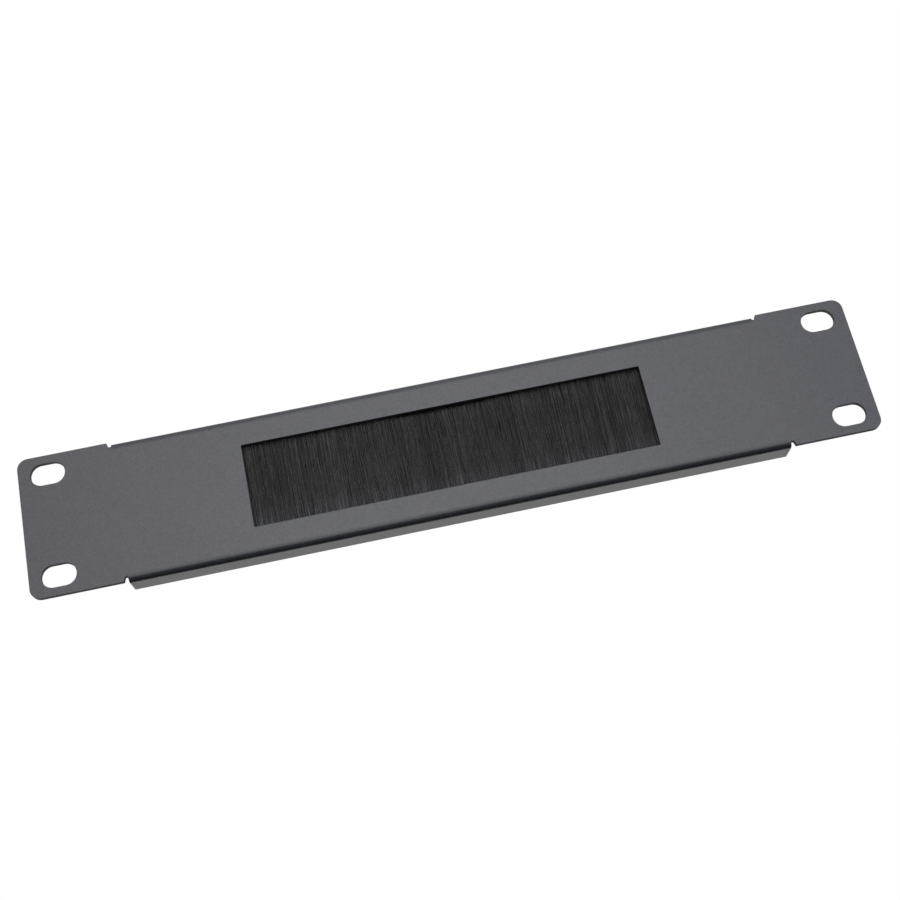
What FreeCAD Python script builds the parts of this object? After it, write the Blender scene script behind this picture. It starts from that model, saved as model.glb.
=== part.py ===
import FreeCAD, Part
import math
import os

from FreeCAD import Vector

# Rack panel for a 10 inch cabinet, one unit high, whose cable opening is closed by a brush.
# The origin is the middle of the plane in which the ears lie on the rack rails.
# X runs along the width, Y from the front to the rear, and Z up. All sizes are in mm.

# Folded panel
panel_width = 254.0
panel_height = 43.65
panel_sheet = 1.5
bend_radius = 0.9
flange_depth = 9.3
ear_width = 26.85
flange_corner_radius = 0.4
ear_corner_radius = 3.2
relief_width = 0.8
relief_depth = 1.4
relief_flare = 0.45

# Slots in the ears, on the pitch of the rack rails
slot_inset = 8.7375
slot_spacing_z = 31.75
slot_length = 10.3
slot_height = 6.8

# Cable opening
opening_width = 121.8
opening_height = 26.1
opening_drop = 0.3

# Carrier, a folded trough behind the sheet with a fixing tab at each end
carrier_sheet = 1.0
carrier_overlap = 9.0
carrier_wall_drop = 1.0
tab_width = 14.0
tab_height = 10.0
tab_corner_radius = 2.0

# Strip brush, a crimped channel with a bundle folded round a wire
channel_width = 4.0
channel_wall = 0.6
mouth_drop = 0.6
lip_height = 1.3
lip_pinch = 0.35
wire_diameter = 1.1
bundle_thickness = 3.6
tuft_pitch = 1.2
tuft_groove = 0.4
tip_overlap = 1.9
tip_crown = 1.2
tip_stagger = 0.35
tip_notch = 0.5
slow_wave_turn = 2.4
fast_wave_turn = 5.3
slow_wave_share = 0.6
front_dip = 1.7
front_dip_reach = 18.0

# Welded studs with a washer and a nut
stud_diameter = 3.0
stud_length = 6.5
stud_chamfer = 0.4
stud_flange_diameter = 4.4
stud_flange_height = 0.7
tab_hole_clearance = 0.2
washer_diameter = 7.0
washer_thickness = 0.5
washer_clearance = 0.1
nut_width = 5.5
nut_height = 2.4
nut_chamfer_angle = 30.0
thread_clearance = 0.02

# Gaps left between pieces that don't press on each other
seat_clearance = 0.3
corner_clearance = 0.2
wire_clearance = 0.05

# The flanged stretch lies between the relief cuts, which widen towards the edge on the ear's side
ear_inner_x = panel_width / 2 - ear_width
relief_root_x = ear_inner_x - relief_flare
flange_length = 2 * (relief_root_x - relief_width)
slot_spacing_x = panel_width - 2 * slot_inset

# Planes that several pieces share
panel_front = -panel_sheet
panel_rear = 0.0
flange_inner_z = -panel_height / 2 + panel_sheet
opening_bottom_z = -opening_drop - opening_height / 2
opening_top_z = -opening_drop + opening_height / 2

# The carrier lies on the rear of the sheet, just clear of the lower flange
carrier_bottom_z = flange_inner_z + seat_clearance
carrier_depth = channel_width + 2 * carrier_sheet
carrier_length = opening_width + 2 * carrier_overlap
mouth_z = opening_bottom_z - mouth_drop
carrier_wall_top_z = mouth_z - carrier_wall_drop
brush_y = panel_rear + carrier_depth / 2

# The channel stands on the floor of the carrier
channel_bottom_z = carrier_bottom_z + carrier_sheet
channel_inner_z = channel_bottom_z + channel_wall
channel_corner_radius = bend_radius + corner_clearance
channel_inner_half = channel_width / 2 - channel_wall
mouth_half = channel_inner_half - lip_pinch

# The bundle passes under the wire as thick as it passes on each side of it
wire_z = channel_inner_z + channel_inner_half

# The bundle leans forward, so its front tips stand just behind the sheet above the opening
tips_y = panel_rear + seat_clearance + bundle_thickness / 2

# Each tuft of the bundle has a ridge, and a groove parts it from the next
tuft_count = round(carrier_length / tuft_pitch)
half_tuft = carrier_length / tuft_count / 2

# The tabs start at the bend line, and the studs stand in the middle of them
tab_bottom_z = carrier_bottom_z + carrier_sheet + bend_radius
tab_top_z = tab_bottom_z + tab_height
stud_x = carrier_length / 2 + tab_width / 2
stud_z = tab_bottom_z + tab_height / 2
tab_rear_y = panel_rear + carrier_sheet
washer_rear_y = tab_rear_y + washer_thickness

ALONG_X = Vector(1, 0, 0)
ALONG_Y = Vector(0, 1, 0)


def outline(corners):
    """Closed wire through (point, radius) corners, each rounded by a tangent arc of its radius."""
    stretches = []
    for index, (point, radius) in enumerate(corners):
        if radius == 0:
            stretches.append((point, None, point))
            continue
        before = corners[index - 1][0] - point
        after = corners[(index + 1) % len(corners)][0] - point
        before.normalize()
        after.normalize()
        half_angle = before.getAngle(after) / 2
        setback = radius / math.tan(half_angle)
        middle = before + after
        middle.normalize()
        bulge = radius / math.sin(half_angle) - radius
        stretches.append((point + before * setback, point + middle * bulge, point + after * setback))
    edges = []
    for index, (start, middle, end) in enumerate(stretches):
        if middle is not None:
            edges.append(Part.Arc(start, middle, end).toShape())
        following = stretches[(index + 1) % len(stretches)][0]
        edges.append(Part.LineSegment(end, following).toShape())
    return Part.Wire(edges)


def swept(wire, start, direction):
    """Solid made by moving a flat wire to its start and sweeping it along a direction."""
    face = Part.Face(wire)
    face.translate(start)
    return face.extrude(direction)


def swept_along_x(wire, length):
    """Solid of a section in the YZ plane, centred on the middle of the panel."""
    return swept(wire, ALONG_X * (-length / 2), ALONG_X * length)


def box(x_low, x_high, y_low, y_high, z_low, z_high):
    """Block between three pairs of planes."""
    corner = Vector(x_low, y_low, z_low)
    return Part.makeBox(x_high - x_low, y_high - y_low, z_high - z_low, corner)


def round_bar(diameter, start, direction):
    """Cylinder from a start point along a direction vector."""
    return Part.makeCylinder(diameter / 2, direction.Length, start, direction)


def u_section(width, depth, wall, place):
    """Section of a folded U whose back lies at depth zero and which is open at the other end."""
    half = width / 2
    corners = (
        (half, depth, 0),
        (half, 0, bend_radius + wall),
        (-half, 0, bend_radius + wall),
        (-half, depth, 0),
        (-half + wall, depth, 0),
        (-half + wall, wall, bend_radius),
        (half - wall, wall, bend_radius),
        (half - wall, depth, 0),
    )
    return outline([(place(across, deep), radius) for across, deep, radius in corners])


def slot(x, z):
    """Obround cutter through the sheet, lying along the width."""
    half_length = slot_length / 2
    half_height = slot_height / 2
    half_straight = half_length - half_height
    left = Vector(x - half_straight, 0, z)
    right = Vector(x + half_straight, 0, z)
    up = Vector(0, 0, half_height)
    reach = Vector(half_height, 0, 0)
    wire = Part.Wire(
        [
            Part.LineSegment(left + up, right + up).toShape(),
            Part.Arc(right + up, right + reach, right - up).toShape(),
            Part.LineSegment(right - up, left - up).toShape(),
            Part.Arc(left - up, left - reach, left + up).toShape(),
        ]
    )
    return swept(wire, ALONG_Y * (panel_front - panel_sheet), ALONG_Y * (3 * panel_sheet))


def panel():
    """One folded sheet: a flat face with two ears and a flange bent back at the top and bottom."""
    half_width = panel_width / 2
    half_height = panel_height / 2
    half_flange = flange_length / 2
    relief_root = half_height - relief_depth
    bend_line = half_height - bend_radius - panel_sheet
    quarter = (
        (half_width, half_height, ear_corner_radius),
        (ear_inner_x, half_height, 0),
        (relief_root_x, relief_root, 0),
        (half_flange, relief_root, 0),
        (half_flange, bend_line, 0),
    )
    upper = list(quarter) + [(-x, z, radius) for x, z, radius in reversed(quarter)]
    lower = [(x, -z, radius) for x, z, radius in reversed(upper)]
    flat_corners = [(Vector(x, 0, z), radius) for x, z, radius in upper + lower]
    flat = swept(outline(flat_corners), ALONG_Y * panel_front, ALONG_Y * panel_sheet)

    section = u_section(
        panel_height, flange_depth, panel_sheet, lambda across, deep: Vector(0, panel_front + deep, across)
    )
    folded = swept_along_x(section, flange_length)
    flange_rear = panel_front + flange_depth
    plan_corners = (
        (half_flange, panel_front, 0),
        (half_flange, flange_rear, flange_corner_radius),
        (-half_flange, flange_rear, flange_corner_radius),
        (-half_flange, panel_front, 0),
    )
    plan = outline([(Vector(x, y, 0), radius) for x, y, radius in plan_corners])
    trim = swept(plan, Vector(0, 0, -half_height), Vector(0, 0, panel_height))
    body = flat.fuse(folded.common(trim))

    cutters = [
        box(
            -opening_width / 2,
            opening_width / 2,
            panel_front - panel_sheet,
            panel_rear + panel_sheet,
            opening_bottom_z,
            opening_top_z,
        )
    ]
    for side_x in (-1, 1):
        for side_z in (-1, 1):
            cutters.append(slot(side_x * slot_spacing_x / 2, side_z * slot_spacing_z / 2))
    return body.cut(cutters).removeSplitter()


def brush_carrier():
    """Folded trough for the strip brush. Its front wall lies on the sheet and ends in two tabs."""
    height = carrier_wall_top_z - carrier_bottom_z
    section = u_section(
        carrier_depth,
        height,
        carrier_sheet,
        lambda across, deep: Vector(0, brush_y + across, carrier_bottom_z + deep),
    )
    body = swept_along_x(section, carrier_length)
    hole_diameter = stud_flange_diameter + 2 * tab_hole_clearance
    holes = []
    for side in (-1, 1):
        inner = side * carrier_length / 2
        outer = inner + side * tab_width
        tab_corners = (
            (inner, tab_bottom_z, 0),
            (outer, tab_bottom_z, tab_corner_radius),
            (outer, tab_top_z, tab_corner_radius),
            (inner, tab_top_z, tab_corner_radius),
        )
        tab = outline([(Vector(x, 0, z), radius) for x, z, radius in tab_corners])
        body = body.fuse(swept(tab, ALONG_Y * panel_rear, ALONG_Y * carrier_sheet))
        foot = Vector(side * stud_x, panel_rear - carrier_sheet, stud_z)
        holes.append(round_bar(hole_diameter, foot, ALONG_Y * (3 * carrier_sheet)))
    return body.cut(holes).removeSplitter()


def channel_half(half, bottom_z, corner_radius):
    """One side of the crimped channel, from its bottom corner to its pinched lip."""
    return (
        (half, bottom_z, corner_radius),
        (half, mouth_z - lip_height, 0),
        (half - lip_pinch, mouth_z, 0),
    )


def both_sides(half_corners):
    """Corners in the YZ plane of one side and its mirror image, going round."""
    near = [(Vector(0, brush_y + across, z), radius) for across, z, radius in half_corners]
    far = [(Vector(0, brush_y - across, z), radius) for across, z, radius in reversed(half_corners)]
    return near + far


def brush_channel():
    """Strip folded to a U and crimped on the bundle, so that its two lips lean inwards."""
    inner_radius = channel_corner_radius - channel_wall
    outer = both_sides(channel_half(channel_width / 2, channel_bottom_z, channel_corner_radius))
    inner = both_sides(channel_half(channel_inner_half, channel_inner_z, inner_radius))
    around = outer[:3] + inner[2::-1] + inner[:2:-1] + outer[3:]
    return swept_along_x(outline(around), carrier_length)


def core_wire():
    """Wire that the bundle is folded round, as long as the channel."""
    start = Vector(-carrier_length / 2, brush_y, wire_z)
    return round_bar(wire_diameter, start, ALONG_X * carrier_length)


def tuft_x(step):
    """Place along the width at half tufts: grooves at even steps and ridges at odd ones."""
    return -carrier_length / 2 + step * half_tuft


def crown_height(step):
    """Height of the middle of the bundle: uneven tuft tips, the same on the left and the right."""
    level = opening_top_z + tip_overlap
    if step % 2 == 0:
        return level - tip_notch
    rank = abs(step / 2 - tuft_count / 2)
    slow = slow_wave_share * math.sin(slow_wave_turn * rank)
    fast = (1 - slow_wave_share) * math.cos(fast_wave_turn * rank)
    return level + tip_stagger * (slow + fast)


def worn_dip(x):
    """How much lower the front tips stand near the middle, where they are worn."""
    return front_dip * math.exp(-((x / front_dip_reach) ** 4))


def fan_side(side):
    """Points along the mouth and along the tips on the front (-1) or the rear (1) of the fan."""
    mouth = []
    tips = []
    for step in range(2 * tuft_count + 1):
        x = tuft_x(step)
        groove = tuft_groove if step % 2 == 0 else 0
        across = side * (bundle_thickness / 2 - groove)
        drop = tip_crown + (worn_dip(x) if side < 0 else 0)
        mouth.append(Vector(x, brush_y + side * mouth_half, mouth_z))
        tips.append(Vector(x, tips_y + across, crown_height(step) - drop))
    return mouth, tips


def facet(*points):
    """Flat face with straight edges through the points."""
    return Part.Face(Part.makePolygon(list(points) + [points[0]]))


def fan():
    """The part of the bundle above the channel: it spreads, and grooves part its tufts."""
    front_mouth, front_tips = fan_side(-1)
    rear_mouth, rear_tips = fan_side(1)
    steps = range(2 * tuft_count)
    crown = [Vector(tuft_x(step), tips_y, crown_height(step)) for step in range(len(steps) + 1)]
    faces = [facet(*front_mouth, *rear_mouth[::-1])]
    for mouth, tips in ((front_mouth, front_tips), (rear_mouth, rear_tips)):
        for step in steps:
            following = step + 1
            faces.append(facet(mouth[step], mouth[following], tips[step]))
            faces.append(facet(mouth[following], tips[following], tips[step]))
            faces.append(facet(tips[step], tips[following], crown[step]))
            faces.append(facet(tips[following], crown[following], crown[step]))
    for end in (0, -1):
        faces.append(
            facet(front_mouth[end], rear_mouth[end], rear_tips[end], crown[end], front_tips[end])
        )
    solid = Part.Solid(Part.Shell(faces))
    if solid.Volume < 0:
        solid.reverse()
    return solid


def bristles():
    """Dense bundle, folded round the wire, gripped by the lips and spreading over the opening."""
    root_radius = channel_corner_radius - channel_wall + corner_clearance
    root_half = channel_half(channel_inner_half, channel_inner_z, root_radius)
    root = swept_along_x(outline(both_sides(root_half)), carrier_length)
    start = Vector(-carrier_length / 2, brush_y, wire_z)
    bore = round_bar(wire_diameter + 2 * wire_clearance, start, ALONG_X * carrier_length)
    return root.cut(bore).fuse(fan())


def weld_stud(side):
    """Stud welded to the rear of the sheet, with a low flange and a chamfered end."""
    foot = Vector(side * stud_x, panel_rear, stud_z)
    end_y = panel_rear + stud_length
    shank_radius = stud_diameter / 2
    flange = round_bar(stud_flange_diameter, foot, ALONG_Y * stud_flange_height)
    shank = round_bar(stud_diameter, foot, ALONG_Y * (stud_length - stud_chamfer))
    tip_foot = Vector(foot.x, end_y - stud_chamfer, foot.z)
    tip = Part.makeCone(shank_radius, shank_radius - stud_chamfer, stud_chamfer, tip_foot, ALONG_Y)
    return flange.fuse([shank, tip]).removeSplitter()


def washer(side):
    """Plain washer between the tab and the nut."""
    foot = Vector(side * stud_x, tab_rear_y, stud_z)
    disc = round_bar(washer_diameter, foot, ALONG_Y * washer_thickness)
    return disc.cut(round_bar(stud_diameter + 2 * washer_clearance, foot, ALONG_Y * washer_thickness))


def nut(side):
    """Hexagon nut with both faces chamfered, its bore left plain where the thread is."""
    foot = Vector(side * stud_x, washer_rear_y, stud_z)
    corner_radius = nut_width / math.sqrt(3)
    hexagon = [
        foot + Vector(corner_radius * math.cos(turn), 0, corner_radius * math.sin(turn))
        for turn in (math.radians(60 * corner) for corner in range(7))
    ]
    prism = Part.Face(Part.makePolygon(hexagon)).extrude(ALONG_Y * nut_height)
    face_radius = nut_width / 2
    slope = (corner_radius - face_radius) * math.tan(math.radians(nut_chamfer_angle))
    profile = (
        (0, 0),
        (face_radius, 0),
        (corner_radius, slope),
        (corner_radius, nut_height - slope),
        (face_radius, nut_height),
        (0, nut_height),
    )
    turned = [foot + Vector(radius, along, 0) for radius, along in profile]
    envelope = Part.Face(Part.makePolygon(turned + [turned[0]])).revolve(foot, ALONG_Y, 360)
    bore = round_bar(stud_diameter + 2 * thread_clearance, foot, ALONG_Y * nut_height)
    return prism.common(envelope).cut(bore)


def pieces():
    """Every separate piece by its name."""
    found = {
        "panel": panel(),
        "brush_carrier": brush_carrier(),
        "brush_channel": brush_channel(),
        "core_wire": core_wire(),
        "bristles": bristles(),
    }
    for name, side in (("left", -1), ("right", 1)):
        found["weld_stud_" + name] = weld_stud(side)
        found["washer_" + name] = washer(side)
        found["nut_" + name] = nut(side)
    return found


os.makedirs("parts", exist_ok=True)
for name, shape in pieces().items():
    shape.exportStep("parts/" + name + ".step")
    print(name, shape.ShapeType, len(shape.Solids), shape.isValid(), round(shape.Volume, 2))
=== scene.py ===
import math

import bpy
import numpy as np
from mathutils import Matrix, Vector


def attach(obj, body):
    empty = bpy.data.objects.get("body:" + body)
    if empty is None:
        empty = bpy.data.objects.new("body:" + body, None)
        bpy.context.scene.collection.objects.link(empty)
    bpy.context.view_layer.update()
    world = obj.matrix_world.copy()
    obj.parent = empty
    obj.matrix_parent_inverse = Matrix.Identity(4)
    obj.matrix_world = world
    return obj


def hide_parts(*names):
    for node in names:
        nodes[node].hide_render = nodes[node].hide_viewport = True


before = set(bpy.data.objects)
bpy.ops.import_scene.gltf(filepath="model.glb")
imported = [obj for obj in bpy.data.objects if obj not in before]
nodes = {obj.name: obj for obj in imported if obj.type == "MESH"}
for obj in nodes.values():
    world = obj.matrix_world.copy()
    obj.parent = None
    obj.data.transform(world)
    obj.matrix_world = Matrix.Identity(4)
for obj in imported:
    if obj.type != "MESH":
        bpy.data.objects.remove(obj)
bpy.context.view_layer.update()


# Folded panel.
# One sheet of 1.5 mm steel with slotted ears and a flange folded back at the top and the bottom.
# It is powder coated dark grey after bending, in a fine-grained satin that rounds its cut edges.

MM = 0.001
COAT_DARK = (0.03, 0.0318, 0.0412, 1)
COAT_LIGHT = (0.058, 0.0607, 0.074, 1)
COAT_IOR = 1.65
COAT_GLOSS = 1.0
COAT_ROUGHNESS = (0.26, 0.36)
COAT_EDGE_RADIUS = 0.3 * MM
COAT_GRAIN = 0.3 * MM
COAT_GRAIN_DEPTH = 0.02 * MM
COAT_SPECKLE = 0.62 * MM
COAT_PEEL = 1.6 * MM
COAT_PEEL_DEPTH = 0.012 * MM
CUT_TONE = (0.038, 0.039, 0.045, 1)
CUT_GLOSS = 0.5
CUT_ROUGHNESS = 0.55
CUT_FACING = (0.15, 0.3)
CUT_REACH = (0.05 * MM, 0.15 * MM)


def new_material(name, metallic=0.0, **constants):
    """Material, its node tree, and its shader with constants set on the shader's own sockets."""
    material = bpy.data.materials.new(name)
    material.use_nodes = True
    tree = material.node_tree
    shader = tree.nodes["Principled BSDF"]
    shader.inputs["Metallic"].default_value = metallic
    for label, value in constants.items():
        shader.inputs[label.replace("_", " ")].default_value = value
    return material, tree, shader


def add(tree, kind, *links, settings=None, **values):
    """New node of a kind, with settings, input values by name, and (input, output socket) links."""
    node = tree.nodes.new("ShaderNode" + kind)
    for label, value in (settings or {}).items():
        setattr(node, label, value)
    for label, value in values.items():
        node.inputs[label.replace("_", " ")].default_value = value
    for label, socket in links:
        tree.links.new(socket, node.inputs[label])
    return node


def calculate(tree, operation, *sockets):
    """Result of one sum on one or two patterns: their absolute value, product, sum or maximum."""
    return add(tree, "Math", *enumerate(sockets), settings={"operation": operation}).outputs[0]


def along_axis(tree, vectors, axis):
    """The X, Y or Z part of a vector pattern."""
    return add(tree, "SeparateXYZ", ("Vector", vectors)).outputs[axis]


def place(tree, stretch=(1, 1, 1)):
    """Object coordinates in metres, multiplied by a factor along each axis."""
    coordinates = add(tree, "TexCoord").outputs["Object"]
    return add(tree, "Mapping", ("Vector", coordinates), Scale=stretch).outputs["Vector"]


def grain(tree, where, size, detail=2.0, roughness=0.5):
    """Noise from 0 to 1 whose lumps are about as large as the size in metres."""
    return add(
        tree, "TexNoise", ("Vector", where), Scale=1 / size, Detail=detail, Roughness=roughness
    ).outputs["Fac"]


def between(tree, source, low, high, start=0.3, end=0.7):
    """Pattern taken from its range start to end into the range low to high, and held there."""
    return add(
        tree,
        "MapRange",
        ("Value", source),
        From_Min=start,
        From_Max=end,
        To_Min=low,
        To_Max=high,
    ).outputs["Result"]


def tones(tree, source, *stops):
    """Colour that goes through (place, colour) stops as a 0 to 1 pattern rises."""
    ramp = add(tree, "ValToRGB", ("Fac", source))
    elements = ramp.color_ramp.elements
    elements[0].position, elements[0].color = stops[0]
    elements[1].position, elements[1].color = stops[-1]
    for position, colour in stops[1:-1]:
        elements.new(position).color = colour
    return ramp.outputs["Color"]


def relief(tree, height, depth, normal=None):
    """Normal of a surface whose pattern stands a depth in metres, on top of another normal."""
    links = [("Height", height)]
    if normal is not None:
        links.append(("Normal", normal))
    return add(tree, "Bump", *links, Strength=1.0, Distance=depth).outputs["Normal"]


def finish_with(tree, shader, **sockets):
    """Links each pattern to the shader's socket of that name."""
    for label, socket in sockets.items():
        tree.links.new(socket, shader.inputs[label.replace("_", " ")])


def coat_nodes(names, material):
    """Gives every slot of the CAD nodes the material."""
    for name in names:
        for material_slot in nodes[name].material_slots:
            material_slot.material = material


powder_coat, tree, shader = new_material("powder_coat", IOR=COAT_IOR)
where = place(tree)
fine = grain(tree, where, COAT_GRAIN)
speckle = grain(tree, where, COAT_SPECKLE, roughness=0.6)
peel = grain(tree, where, COAT_PEEL, detail=1.0)
rounded = add(tree, "Bevel", settings={"samples": 6}, Radius=COAT_EDGE_RADIUS).outputs["Normal"]
peeled = relief(tree, peel, COAT_PEEL_DEPTH, rounded)

# A cut edge faces sideways, and it lies within the thickness of the sheet.
facing = along_axis(tree, add(tree, "NewGeometry").outputs["True Normal"], "Y")
sideways = between(tree, calculate(tree, "ABSOLUTE", facing), 1.0, 0.0, *CUT_FACING)
in_sheet = between(tree, along_axis(tree, where, "Y"), 1.0, 0.0, *CUT_REACH)
cut_edge = calculate(tree, "MULTIPLY", sideways, in_sheet)
finish_with(
    tree,
    shader,
    Base_Color=add(
        tree,
        "MixRGB",
        ("Fac", cut_edge),
        ("Color1", tones(tree, speckle, (0.3, COAT_DARK), (0.7, COAT_LIGHT))),
        Color2=CUT_TONE,
    ).outputs["Color"],
    Roughness=add(
        tree,
        "MapRange",
        ("Value", cut_edge),
        ("To Min", between(tree, fine, *COAT_ROUGHNESS)),
        To_Max=CUT_ROUGHNESS,
    ).outputs["Result"],
    Specular_IOR_Level=between(tree, cut_edge, COAT_GLOSS, CUT_GLOSS, 0.0, 1.0),
    Normal=relief(tree, fine, COAT_GRAIN_DEPTH, peeled),
)
coat_nodes(["panel"], powder_coat)


# Carrier.
# Trough of 1 mm galvanised sheet behind the opening, folded up round the strip brush.
# Its front wall lies on the panel and runs out into a tab at each end.

ZINC_PALE = (0.62, 0.63, 0.64, 1)
ZINC_GREY = (0.44, 0.45, 0.47, 1)
ZINC_ROUGHNESS = (0.32, 0.5)
SPANGLE_SIZE = 2.6 * MM
SPANGLE_FRAYS = 0.4 * MM
SPANGLE_FRAY_REACH = 0.9 * MM
MILL_LINE = 0.25 * MM
MILL_LINE_DEPTH = 0.006 * MM
MILL_LINE_STRETCH = (0.06, 1, 1)


def frayed_place(tree, size, reach):
    """Object coordinates + reach * (noise - 1/2), with noise of a lump size in metres."""
    where = place(tree)
    noise = add(tree, "TexNoise", ("Vector", where), Scale=1 / size, Detail=3.0).outputs["Color"]
    push = add(
        tree, "Mapping", ("Vector", noise), Scale=(reach,) * 3, Location=(-reach / 2,) * 3
    ).outputs["Vector"]
    return add(tree, "VectorMath", (0, where), (1, push)).outputs["Vector"]


galvanised, tree, shader = new_material("galvanised_sheet", metallic=1.0)
crystals = frayed_place(tree, SPANGLE_FRAYS, SPANGLE_FRAY_REACH)
spangle = add(tree, "TexVoronoi", ("Vector", crystals), Scale=1 / SPANGLE_SIZE, Randomness=1.0)
spangle_tone = add(tree, "SeparateColor", ("Color", spangle.outputs["Color"])).outputs[0]
mill_lines = grain(tree, place(tree, MILL_LINE_STRETCH), MILL_LINE, detail=3.0)
finish_with(
    tree,
    shader,
    Base_Color=tones(tree, spangle_tone, (0.0, ZINC_GREY), (1.0, ZINC_PALE)),
    Roughness=between(tree, spangle_tone, *ZINC_ROUGHNESS, 0.0, 1.0),
    Normal=relief(tree, mill_lines, MILL_LINE_DEPTH),
)
coat_nodes(["brush_carrier"], galvanised)


# Channel.
# Galvanised strip rolled to a U and crimped on the bundle, so its lips lean inwards.
# The rolls leave fine lines along it.

STRIP_PALE = (0.58, 0.59, 0.6, 1)
STRIP_GREY = (0.42, 0.43, 0.44, 1)
STRIP_ROUGHNESS = (0.26, 0.44)
STRIP_PATCH = 5 * MM
ROLL_LINE = 0.12 * MM
ROLL_LINE_DEPTH = 0.008 * MM
ROLL_LINE_STRETCH = (0.03, 1, 1)

strip, tree, shader = new_material("rolled_strip", metallic=1.0)
roll_lines = grain(tree, place(tree, ROLL_LINE_STRETCH), ROLL_LINE, detail=4.0)
patches = grain(tree, place(tree), STRIP_PATCH, detail=3.0)
finish_with(
    tree,
    shader,
    Base_Color=tones(tree, patches, (0.3, STRIP_GREY), (0.7, STRIP_PALE)),
    Roughness=between(tree, roll_lines, *STRIP_ROUGHNESS),
    Normal=relief(tree, roll_lines, ROLL_LINE_DEPTH),
)
coat_nodes(["brush_channel"], strip)


# Core wire.
# Drawn steel wire that the filaments are folded round. The channel is crimped over both.
# It shows only at the two ends of the channel.

WIRE_BRIGHT = (0.5, 0.5, 0.51, 1)
WIRE_DULL = (0.33, 0.33, 0.34, 1)
WIRE_ROUGHNESS = (0.25, 0.42)
DIE_LINE = 0.1 * MM
DIE_LINE_DEPTH = 0.004 * MM
DIE_LINE_STRETCH = (0.02, 1, 1)

drawn, tree, shader = new_material("drawn_wire", metallic=1.0)
die_lines = grain(tree, place(tree, DIE_LINE_STRETCH), DIE_LINE, detail=3.0)
finish_with(
    tree,
    shader,
    Base_Color=tones(tree, die_lines, (0.3, WIRE_DULL), (0.7, WIRE_BRIGHT)),
    Roughness=between(tree, die_lines, *WIRE_ROUGHNESS),
    Normal=relief(tree, die_lines, DIE_LINE_DEPTH),
)
coat_nodes(["core_wire"], drawn)


# Bristles.
# About 4700 black nylon filaments, each folded round the wire so that both its legs stand up.
# They spread above the lips of the channel, lean together in tufts, and are trimmed by a knife.

FILAMENT_RADIUS = 0.1 * MM
FILAMENT_SIDES = 3
FILAMENT_PITCH = 0.12 * MM
FILAMENT_STRAY = 0.8
STRIP_HALF_LENGTH = 69.85 * MM
LAYER_RADII = (0.68 * MM, 0.88 * MM, 1.08 * MM, 1.28 * MM)
LAYER_SEED = 7
WIRE_Z = -17.025 * MM
FOLD_TURNS = np.radians([30, 90, 150])

# The legs, from the lips of the channel up to the tips. Offsets are from the innermost layer's
# to the outermost layer's, in front of and behind the middle of the bundle.
MOUTH_Z = -13.95 * MM
MOUTH_Y = 3.0 * MM
MOUTH_OFFSETS = (0.13 * MM, 0.92 * MM)
TIPS_Y = 2.1 * MM
TIP_OFFSETS = (0.25 * MM, 1.68 * MM)
TIP_OFFSET_LEAST = 0.05 * MM
TIP_OFFSET_SPREAD = 0.12 * MM
BUNDLE_HALF = 1.8 * MM
LEG_STATIONS = np.array([1.0, 0.985, 0.83, 0.67, 0.5, 0.34, 0.17, 0.0])

# The trim: level, rounded across the bundle, and worn down by cables in the middle of the front.
TRIM_LEVEL = 14.8 * MM
TRIM_LIMIT = 15.0 * MM
TRIM_SPREAD = 0.16 * MM
TRIM_CROWN = 1.2 * MM
WORN_DIP = 1.7 * MM
WORN_REACH = 18 * MM

# Tufts as (spacing, pull): the wide ones that the strip is filled with, and the narrow ones in
# them. The rear is held straighter than the front. Partings are (place, width).
WIDE_TUFTS = (2.6 * MM, 0.12)
NARROW_TUFTS = (0.7 * MM, 0.14)
TUFT_GAPS = (0.5, 1.6)
TUFT_STRENGTHS = (0.2, 1.0)
TUFTS_AT_MOST = 400
TUFT_SEED = 40
REAR_HOLD = 0.25
LEAN_SPREAD = 0.35 * MM
WAVER_WIDTH = 0.14 * MM
WAVER_TURNS = (4, 14)
WAVER_STARTS = (0, 6)
PARTINGS = (
    (-35.9 * MM, 0.2 * MM),
    (-13.3 * MM, 0.35 * MM),
    (-7.3 * MM, 0.15 * MM),
    (6.5 * MM, 0.15 * MM),
    (12.0 * MM, 0.35 * MM),
    (30.6 * MM, 0.2 * MM),
    (43.4 * MM, 0.25 * MM),
    (54.0 * MM, 0.15 * MM),
)
PARTING_REACH = 1.0 * MM

# The black nylon, with painted light on it: paler and bluer at the foot and towards the tips.
# Locks are (width, depth of shade).
NYLON_DARK = (0.0238, 0.0241, 0.0236, 1)
NYLON_LIGHT = (0.035, 0.0355, 0.0347, 1)
NYLON_ROUGHNESS = (0.32, 0.46)
NYLON_GLOSS = (0.25, 1.55)
STREAK = 0.1 * MM
STREAK_DEPTH = 0.004 * MM
STREAK_STRETCH = (1, 1, 0.08)
CRIMP = 0.34 * MM
CRIMP_DEPTH = 0.1 * MM
CRIMP_STRETCH = (1.3, 1.3, 1)
# Painted light: a paler, bluer nylon tone, mixed in over a height above the foot and by a share
# towards the tips.
PAINTED_LIGHT_DARKEST = (0.0125, 0.0125, 0.014, 1)
PAINTED_LIGHT_PALEST = (0.121, 0.124, 0.142, 1)
PAINTED_FOOT_LIGHT_HEIGHT = 7 * MM
PAINTED_TIP_LIGHT_HEIGHTS = (7 * MM, 12 * MM)
PAINTED_TIP_LIGHT_SHARE = 0.3
LOCKS = ((2.4 * MM, 0.08), (5 * MM, 0.085), (12 * MM, 0.055))
LOCK_SEED = 2
# The nylon is lighter to the left, more so at the foot than at the tips.
LEFT_LIFT_AT_FOOT = 0.26
LEFT_LIFT_AT_TIPS = 0.1


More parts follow.
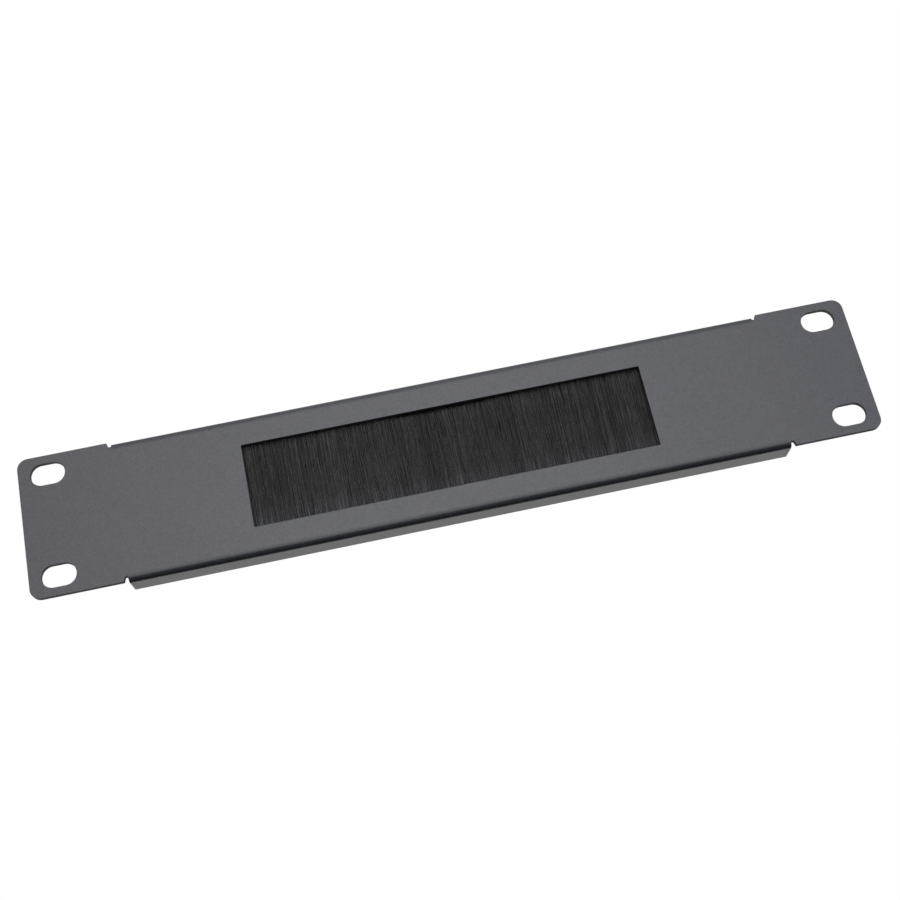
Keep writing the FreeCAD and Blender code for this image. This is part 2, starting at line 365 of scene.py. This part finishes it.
def mesh_piece(name, points, face_groups, material):
    """Piece from points and (faces, smooth) groups, each an array of faces of one corner count."""
    mesh = bpy.data.meshes.new(name)
    corners = np.concatenate([np.full(len(faces), faces.shape[1]) for faces, _ in face_groups])
    loops = np.concatenate([faces.ravel() for faces, _ in face_groups])
    smooth = np.concatenate([np.full(len(faces), is_smooth) for faces, is_smooth in face_groups])
    mesh.vertices.add(len(points))
    mesh.vertices.foreach_set("co", points.astype(np.float32).ravel())
    mesh.loops.add(len(loops))
    mesh.loops.foreach_set("vertex_index", loops.astype(np.int32))
    mesh.polygons.add(len(corners))
    mesh.polygons.foreach_set("loop_start", (np.cumsum(corners) - corners).astype(np.int32))
    mesh.polygons.foreach_set("use_smooth", smooth)
    mesh.update(calc_edges=True)
    mesh.validate()
    mesh.materials.append(material)
    piece = bpy.data.objects.new(name, mesh)
    bpy.context.scene.collection.objects.link(piece)
    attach(piece, "root")
    return piece


def mark_points(piece, name, values):
    """Keeps one number for each point of the piece, for its material to read."""
    attribute = piece.data.attributes.new(name, "FLOAT", "POINT")
    attribute.data.foreach_set("value", values.astype(np.float32))


def unit(vectors):
    """Vectors along the last axis, each divided by its length."""
    return vectors / np.linalg.norm(vectors, axis=-1, keepdims=True)


def tubes(paths, radius, sides, phases):
    """Closed tubes along many paths of equal station counts.

    At each station the ring is centre + radius * (cos a * side + sin a * up), where side is the
    X axis made square to the path and up is square to both. The two ends are capped by one face.
    """
    count, stations = paths.shape[:2]
    along = unit(np.gradient(paths, axis=1))
    side = unit(np.array([1.0, 0, 0]) - along[..., :1] * along)
    up = np.cross(along, side)
    turns = phases[:, None] + np.arange(sides) * 2 * math.pi / sides
    cosines = np.cos(turns)[:, None, :, None]
    sines = np.sin(turns)[:, None, :, None]
    rings = paths[:, :, None] + radius * (cosines * side[:, :, None] + sines * up[:, :, None])
    index = np.arange(count * stations * sides).reshape(count, stations, sides)
    after = np.roll(index, -1, axis=2)
    walls = np.stack([index[:, :-1], after[:, :-1], after[:, 1:], index[:, 1:]], axis=-1)
    caps = np.concatenate([index[:, 0, ::-1], index[:, -1]])
    return rings.reshape(-1, 3), [(walls.reshape(-1, 4), True), (caps, False)]


def gathered(x, spacing, pull, seed):
    """How far each place moves towards its tuft: (middle of the tuft - x) * the tuft's strength.

    The gaps between the tufts' borders and the strengths are random shares of spacing and pull.
    """
    rng = np.random.default_rng(seed)
    gaps = spacing * rng.uniform(*TUFT_GAPS, TUFTS_AT_MOST)
    borders = -STRIP_HALF_LENGTH - spacing + np.cumsum(gaps)
    middles = (borders[1:] + borders[:-1]) / 2
    strengths = pull * rng.uniform(*TUFT_STRENGTHS, len(middles))
    tuft = np.clip(np.searchsorted(borders, x) - 1, 0, len(middles) - 1)
    return (middles[tuft] - x) * strengths[tuft]


def parted(x):
    """How far each filament is pushed aside: width * exp(-distance / reach) from each parting."""
    push = np.zeros_like(x)
    for parting, width in PARTINGS:
        away = x - parting
        push += np.sign(away) * width * np.exp(-np.abs(away) / PARTING_REACH)
    return push


def locks(x):
    """Shade of each place's lock: one, plus a random broken line for each width of lock."""
    rng = np.random.default_rng(LOCK_SEED)
    shade = np.ones_like(x)
    for width, depth in LOCKS:
        knots = np.arange(-STRIP_HALF_LENGTH - width, STRIP_HALF_LENGTH + 2 * width, width)
        shade += np.interp(x, knots, rng.normal(0, depth, len(knots)))
    return shade


def lock_and_side_tone(points):
    """Shade of each point: its lock's - lean * x / half length, so lighter to the left.

    The lean falls evenly from the foot to the tips.
    """
    share = np.clip((points[:, 2] - MOUTH_Z) / (TRIM_LEVEL - MOUTH_Z), 0, 1)
    lean = LEFT_LIFT_AT_FOOT + (LEFT_LIFT_AT_TIPS - LEFT_LIFT_AT_FOOT) * share
    return locks(points[:, 0]) - lean * points[:, 0] / STRIP_HALF_LENGTH


def leg(x, layer, side, rng):
    """Points of one leg of every filament in a layer, from its tip down to the wire's level.

    A share s runs from 1 at the tip to 0 at the lips. The leg leaves its mouth place for its tip
    place as s rises: y and z in proportion to s, and x by the wide tufts and partings times
    s^1.6, the narrow tufts times s^0.8, the lean times s, and a sine of s times s^0.5. The tip
    stands at the trim level less the crown, and in front less the dip, exp(-(x / reach)^4).
    """
    count = len(x)
    in_front = side < 0
    outermost = len(LAYER_RADII) - 1
    mouth = np.interp(layer, (0, outermost), MOUTH_OFFSETS)
    tip = np.interp(layer, (0, outermost), TIP_OFFSETS)
    tip = tip + rng.normal(0, TIP_OFFSET_SPREAD, count)
    tip = np.clip(tip, TIP_OFFSET_LEAST, TIP_OFFSETS[1])
    outward = tip / BUNDLE_HALF
    dip = WORN_DIP * np.exp(-((x / WORN_REACH) ** 4)) * (outward if in_front else 0)
    tip_z = TRIM_LEVEL - dip - TRIM_CROWN * outward + rng.normal(0, TRIM_SPREAD, count)
    tip_z = np.minimum(tip_z, TRIM_LIMIT)
    lean = rng.normal(0, LEAN_SPREAD, count)[:, None]
    share = LEG_STATIONS[None, :]

    seed = TUFT_SEED + 10 * layer + (not in_front)
    hold = 1.0 if in_front else REAR_HOLD
    spacing, pull = WIDE_TUFTS
    wide = hold * (gathered(x, spacing, pull, seed) + parted(x))[:, None]
    spacing, pull = NARROW_TUFTS
    narrow = gathered(x, spacing, pull * hold, seed + 100)[:, None]
    turns = rng.uniform(*WAVER_TURNS, (count, 1))
    starts = rng.uniform(*WAVER_STARTS, (count, 1))
    waver = WAVER_WIDTH * np.sin(share * turns + starts)

    px = x[:, None] + wide * share**1.6 + narrow * share**0.8 + lean * share + waver * share**0.5
    mouth_y = MOUTH_Y + side * mouth
    tip_y = TIPS_Y + side * tip[:, None]
    py = mouth_y + (tip_y - mouth_y) * share
    pz = MOUTH_Z + (tip_z[:, None] - MOUTH_Z) * share
    upper = np.stack([px, py, pz], axis=-1)
    low_y = np.full(count, MOUTH_Y + side * LAYER_RADII[layer])
    low = np.stack([x, low_y, np.full(count, WIRE_Z)], axis=-1)
    return np.concatenate([upper, low[:, None]], axis=1)


def folded_filaments(layer):
    """Paths of a layer, and its random draws: down in front, round under the wire, and up behind.

    Under the wire a path goes through wire - radius * (cos a, sin a) at three turns a.
    """
    rng = np.random.default_rng(LAYER_SEED + layer)
    count = int(2 * STRIP_HALF_LENGTH / FILAMENT_PITCH)
    x = np.linspace(-STRIP_HALF_LENGTH, STRIP_HALF_LENGTH, count)
    x = x + rng.uniform(-FILAMENT_STRAY, FILAMENT_STRAY, count) * FILAMENT_PITCH
    x = np.clip(x, -STRIP_HALF_LENGTH, STRIP_HALF_LENGTH)
    front = leg(x, layer, -1, rng)
    rear = leg(x, layer, 1, rng)[:, ::-1]
    radius = LAYER_RADII[layer]
    fold_x, fold_y = np.broadcast_arrays(x[:, None], MOUTH_Y - radius * np.cos(FOLD_TURNS))
    fold_z = np.broadcast_to(WIRE_Z - radius * np.sin(FOLD_TURNS), fold_x.shape)
    fold = np.stack([fold_x, fold_y, fold_z], axis=-1)
    return np.concatenate([front, fold, rear], axis=1), rng


nylon, tree, shader = new_material("black_nylon")
tone = add(tree, "Attribute", settings={"attribute_name": "tone"}).outputs["Fac"]
shade = add(tree, "Attribute", settings={"attribute_name": "shade"}).outputs["Fac"]
streaks = grain(tree, place(tree, STREAK_STRETCH), STREAK)
crimp = grain(tree, place(tree, CRIMP_STRETCH), CRIMP, detail=1.0)
height = along_axis(tree, place(tree), "Z")
# Painted light: the nylon is mixed towards a paler, bluer tone near the foot and towards the tips,
# under the opening's top edge.
painted_foot_light = between(tree, height, 1.0, 0.0, MOUTH_Z, MOUTH_Z + PAINTED_FOOT_LIGHT_HEIGHT)
painted_tip_light = between(tree, height, 0.0, PAINTED_TIP_LIGHT_SHARE, *PAINTED_TIP_LIGHT_HEIGHTS)
bare = tones(tree, tone, (0.0, NYLON_DARK), (1.0, NYLON_LIGHT))
painted_light_tone = tones(tree, tone, (0.0, PAINTED_LIGHT_DARKEST), (1.0, PAINTED_LIGHT_PALEST))
painted_light_share = calculate(tree, "ADD", painted_foot_light, painted_tip_light)
nylon_with_painted_light = add(tree, "MixRGB", ("Fac", painted_light_share), ("Color1", bare), ("Color2", painted_light_tone)).outputs["Color"]
finish_with(
    tree,
    shader,
    Base_Color=add(
        tree, "VectorMath", (0, nylon_with_painted_light), ("Scale", shade), settings={"operation": "SCALE"}
    ).outputs["Vector"],
    Roughness=between(tree, streaks, *NYLON_ROUGHNESS),
    Specular_IOR_Level=between(tree, crimp, *NYLON_GLOSS),
    Normal=relief(tree, crimp, CRIMP_DEPTH, relief(tree, streaks, STREAK_DEPTH)),
)

for layer in range(len(LAYER_RADII)):
    paths, rng = folded_filaments(layer)
    phases = rng.uniform(0, math.pi / 2, len(paths))
    points, faces = tubes(paths, FILAMENT_RADIUS, FILAMENT_SIDES, phases)
    piece = mesh_piece("bristles_layer_" + str(layer + 1), points, faces, nylon)
    filament_tones = rng.uniform(0, 1, len(paths)) ** 2
    mark_points(piece, "tone", np.repeat(filament_tones, paths.shape[1] * FILAMENT_SIDES))
    mark_points(piece, "shade", lock_and_side_tone(points))
    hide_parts("bristles")


# Weld studs.
# Copper-flashed M3 studs, welded to the rear of the panel by their low flange.
# The thread is cold rolled, so it starts above the flange and ends at the chamfer.

STUD_PLACES = (-77 * MM, 77 * MM)
STUD_Z = -13.125 * MM
STUD_LENGTH = 6.5 * MM
STUD_RADIUS = 1.49 * MM
STUD_SIDES = 32
STUD_CREASE = math.radians(40)
STUD_CHAMFER = 0.4 * MM
STUD_FLANGE_RADIUS = 2.2 * MM
STUD_FLANGE_HEIGHT = 0.7 * MM
STUD_FLANGE_EDGE = 0.1 * MM
STUD_NECK = 0.05 * MM
THREAD_PITCH = 0.5 * MM
THREAD_DEPTH = 0.27 * MM
THREAD_START = 1.1 * MM
THREAD_STEPS = 6
THREAD_BLANK = 0.1 * MM
COPPER_DARK = (0.42, 0.24, 0.16, 1)
COPPER_LIGHT = (0.72, 0.46, 0.33, 1)
COPPER_ROUGHNESS = (0.28, 0.45)
TARNISH = 0.9 * MM
TARNISH_DEPTH = 0.01 * MM


def turned_surface(place_xz, steps, radii):
    """Closed surface round a Y axis: x + r cos a, y, z + r sin a, and one point at both ends.

    radii is an array of r by rows along Y, one for each step, and columns round the axis.
    """
    rows, columns = radii.shape
    middle_x, middle_z = place_xz
    turns = np.arange(columns) * 2 * math.pi / columns
    x = middle_x + radii * np.cos(turns)
    z = middle_z + radii * np.sin(turns)
    y = np.broadcast_to(steps[:, None], radii.shape)
    rings = np.stack([x, y, z], axis=-1).reshape(-1, 3)
    poles = np.array([[middle_x, steps[0], middle_z], [middle_x, steps[-1], middle_z]])
    index = np.arange(rows * columns).reshape(rows, columns)
    after = np.roll(index, -1, axis=1)
    first = np.stack([index[:-1], index[1:], after[1:]], axis=-1).reshape(-1, 3)
    second = np.stack([index[:-1], after[1:], after[:-1]], axis=-1).reshape(-1, 3)
    foot = np.stack([np.full(columns, rows * columns), index[0], after[0]], axis=-1)
    end = np.stack([np.full(columns, rows * columns + 1), after[-1], index[-1]], axis=-1)
    return np.concatenate([rings, poles]), [(np.concatenate([first, second, foot, end]), True)]


def stud_profile(columns):
    """Steps along the stud and their radii: flange, shank with a helical thread, and chamfer.

    The thread's radius is R - depth * (1.3 |2 f - 1| - 0.1), held between its crest and its root,
    where f is the fraction of y / pitch - a / turn. It runs in over one pitch from the blank.
    """
    rim = STUD_FLANGE_HEIGHT
    flange_y = [0, rim - STUD_FLANGE_EDGE, rim, rim + STUD_NECK]
    thread_end = STUD_LENGTH - 0.01 * MM
    thread_y = np.arange(THREAD_START, thread_end, THREAD_PITCH / THREAD_STEPS)
    steps = np.concatenate([flange_y, thread_y, [STUD_LENGTH]])
    turn = np.arange(columns) / columns
    fraction = np.mod(steps[:, None] / THREAD_PITCH - turn[None, :], 1)
    cut = THREAD_DEPTH * np.clip(np.abs(2 * fraction - 1) * 1.3 - 0.1, 0, 1)
    run_in = np.clip((steps - THREAD_START) / THREAD_PITCH, 0, 1)[:, None]
    radii = STUD_RADIUS - THREAD_BLANK + (THREAD_BLANK - cut) * run_in
    chamfer = STUD_RADIUS - np.clip(steps - (STUD_LENGTH - STUD_CHAMFER), 0, None)
    radii = np.minimum(radii, chamfer[:, None])
    radii[:2] = STUD_FLANGE_RADIUS
    radii[2] = STUD_FLANGE_RADIUS - STUD_FLANGE_EDGE
    return steps, radii


copper, tree, shader = new_material("copper_flash", metallic=1.0)
tarnish = grain(tree, place(tree), TARNISH, detail=4.0)
finish_with(
    tree,
    shader,
    Base_Color=tones(tree, tarnish, (0.35, COPPER_DARK), (0.65, COPPER_LIGHT)),
    Roughness=between(tree, tarnish, *COPPER_ROUGHNESS),
    Normal=relief(tree, tarnish, TARNISH_DEPTH),
)
for side_name, stud_x in zip(("left", "right"), STUD_PLACES):
    points, faces = turned_surface((stud_x, STUD_Z), *stud_profile(STUD_SIDES))
    stud = mesh_piece("stud_" + side_name, points, faces, copper)
    stud.data.set_sharp_from_angle(angle=STUD_CREASE)
    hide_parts("weld_stud_" + side_name)


# Washers and nuts.
# One washer and one hexagon nut on each stud, bright zinc plated, which hold the carrier's tabs.
# Their plating is a little cloudy, with fine scuffs from the barrel that they were plated in.

PLATE_PALE = (0.68, 0.69, 0.71, 1)
PLATE_GREY = (0.5, 0.51, 0.53, 1)
PLATE_ROUGHNESS = (0.2, 0.38)
PLATE_CLOUD = 1.4 * MM
SCUFF = 0.15 * MM
SCUFF_DEPTH = 0.004 * MM
SCUFF_STRETCH = (1, 0.2, 1)

plated, tree, shader = new_material("bright_zinc", metallic=1.0)
cloud = grain(tree, place(tree), PLATE_CLOUD, detail=3.0)
scuffs = grain(tree, place(tree, SCUFF_STRETCH), SCUFF)
finish_with(
    tree,
    shader,
    Base_Color=tones(tree, cloud, (0.3, PLATE_GREY), (0.7, PLATE_PALE)),
    Roughness=between(tree, scuffs, *PLATE_ROUGHNESS),
    Normal=relief(tree, scuffs, SCUFF_DEPTH),
)
coat_nodes(["washer_left", "washer_right", "nut_left", "nut_right"], plated)


# Floor and light.
# Pale floor below the part, a broad softbox in front and above, and a white surround behind.
# A dark card below the panel is mirrored in its lower bend, as a dark line along it.

FLOOR_Z = -1.3
FLOOR_SIZE = (30.0, 30.0)
FLOOR_GREY = (0.84, 0.84, 0.84, 1)
FLOOR_PALE = (0.88, 0.88, 0.88, 1)
FLOOR_MOTTLE = 0.4
FLOOR_GLOW = 0.85
FLOOR_GLOW_MIRRORED = 0.63
CARD_Z = -0.22
CARD_SIZE = (1.2, 0.5)
CARD_MIDDLE = (0, 0.04)
CARD_TONE = (0.03, 0.03, 0.03, 1)
SOFTBOX_SIZE = (0.46, 0.4)
SOFTBOX_PLACE = (-0.01, -0.45, 0.14)
SOFTBOX_POWER = 3.65
SURROUND_FILL = 0.25
SURROUND_OVERHEAD = 0.37
OVERHEAD_HEADING = (0.3, 0.85)
SIDE_GREY = (0.19, 0.19, 0.19, 1)
SIDE_ROSE = (0.18, 0.14, 0.16, 1)
SIDE_BLUE = (0.145, 0.137, 0.245, 1)
CREAM = (1, 1, 0.96, 1)
WHITE = (1, 1, 1, 1)


def flat_square(name, size, height, material, middle=(0, 0)):
    """Level sheet of the studio: middle + or - half the size, at one height."""
    half_x, half_y = size[0] / 2, size[1] / 2
    corners = [
        (middle[0] + sx * half_x, middle[1] + sy * half_y, height)
        for sx, sy in ((-1, -1), (1, -1), (1, 1), (-1, 1))
    ]
    mesh = bpy.data.meshes.new(name)
    mesh.from_pydata(corners, [], [(0, 1, 2, 3)])
    mesh.materials.append(material)
    sheet = bpy.data.objects.new(name, mesh)
    bpy.context.scene.collection.objects.link(sheet)
    return sheet


def seen_directly(tree):
    """One for camera, glossy and transmission rays, and zero for the light that falls on things."""
    path = add(tree, "LightPath").outputs
    seen = calculate(tree, "MAXIMUM", path["Is Camera Ray"], path["Is Glossy Ray"])
    return calculate(tree, "MAXIMUM", seen, path["Is Transmission Ray"])


def where_seen(tree, mask, usual, seen):
    """The usual number where a 0 to 1 mask is 0, and the seen pattern where it is 1."""
    return add(
        tree, "MapRange", ("Value", mask), ("To Max", seen), To_Min=usual
    ).outputs["Result"]


pale, tree, shader = new_material("pale_floor", Specular_IOR_Level=0.0, Roughness=0.9)
mottle = grain(tree, place(tree), FLOOR_MOTTLE)
finish_with(tree, shader, Base_Color=tones(tree, mottle, (0.3, FLOOR_GREY), (0.7, FLOOR_PALE)))
glow = add(tree, "Emission", Strength=1.0).outputs["Emission"]
straight = add(tree, "LightPath").outputs["Is Camera Ray"]
glow_share = between(tree, straight, FLOOR_GLOW_MIRRORED, FLOOR_GLOW, 0.0, 1.0)
glow_share = where_seen(tree, seen_directly(tree), 0.0, glow_share)
blend = add(tree, "MixShader", ("Fac", glow_share), (1, shader.outputs["BSDF"]), (2, glow))
tree.links.new(blend.outputs["Shader"], tree.nodes["Material Output"].inputs["Surface"])
flat_square("floor", FLOOR_SIZE, FLOOR_Z, pale)

dark, tree, shader = new_material("dark_card", Specular_IOR_Level=0.0, Base_Color=CARD_TONE)
card = flat_square("card", CARD_SIZE, CARD_Z, dark, CARD_MIDDLE)
card.visible_camera = False
card.visible_shadow = False

softbox = bpy.data.lights.new("softbox", "AREA")
softbox.shape = "RECTANGLE"
softbox.size, softbox.size_y = SOFTBOX_SIZE
softbox.energy = SOFTBOX_POWER * math.pi * softbox.size * softbox.size_y
lamp = bpy.data.objects.new("softbox", softbox)
lamp_place = Vector(SOFTBOX_PLACE)
aim = (-lamp_place).to_track_quat("-Z", "Y")
lamp.matrix_world = Matrix.Translation(lamp_place) @ aim.to_matrix().to_4x4()
lamp.visible_glossy = False
bpy.context.scene.collection.objects.link(lamp)

# The surround is white. What the part mirrors of it dims overhead and towards both sides.
world = bpy.data.worlds.new("surround")
bpy.context.scene.world = world
world.use_nodes = True
tree = world.node_tree
direction = add(tree, "TexCoord").outputs["Generated"]
upward = along_axis(tree, direction, "Z")
rightward = along_axis(tree, direction, "X")
overhead = between(tree, upward, 1.0, SURROUND_OVERHEAD, *OVERHEAD_HEADING)
side_tone = tones(
    tree,
    between(tree, rightward, 0.0, 1.0, -1.0, 1.0),
    (0.06, SIDE_GREY),
    (0.2, SIDE_ROSE),
    (0.48, CREAM),
    (0.58, WHITE),
    (0.85, SIDE_BLUE),
    (0.94, SIDE_GREY),
)
mirrored = add(tree, "LightPath").outputs["Is Glossy Ray"]
glare = where_seen(tree, mirrored, 1.0, overhead)
strength = where_seen(tree, seen_directly(tree), SURROUND_FILL, glare)
tint = add(tree, "MixRGB", ("Fac", mirrored), ("Color2", side_tone), Color1=WHITE)
background = tree.nodes["Background"]
tree.links.new(tint.outputs["Color"], background.inputs["Color"])
tree.links.new(strength, background.inputs["Strength"])


# Camera.
# It stands where the photograph was taken from, in front of the panel and below it, and is tilted
# so that the panel rises to the right. Its place and axes were fitted to the slots and the ears.

CAMERA_PLACE = (-0.025997, -0.387198, -0.149882)
CAMERA_RIGHT = (0.97850, 0.01407, -0.20579)
CAMERA_UP = (0.19679, -0.36262, 0.91092)
CAMERA_BACK = (-0.06181, -0.93183, -0.35759)
CAMERA_LENS = 55.894
CAMERA_SENSOR = 36
CAMERA_NEAREST = 0.01

camera_data = bpy.data.cameras.new("camera")
camera_data.lens = CAMERA_LENS
camera_data.sensor_width = CAMERA_SENSOR
camera_data.clip_start = CAMERA_NEAREST
camera = bpy.data.objects.new("camera", camera_data)
turned = Matrix((CAMERA_RIGHT, CAMERA_UP, CAMERA_BACK)).transposed()
camera.matrix_world = Matrix.Translation(CAMERA_PLACE) @ turned.to_4x4()
bpy.context.scene.collection.objects.link(camera)
bpy.context.scene.camera = camera
bpy.context.scene.view_settings.view_transform = "Standard"
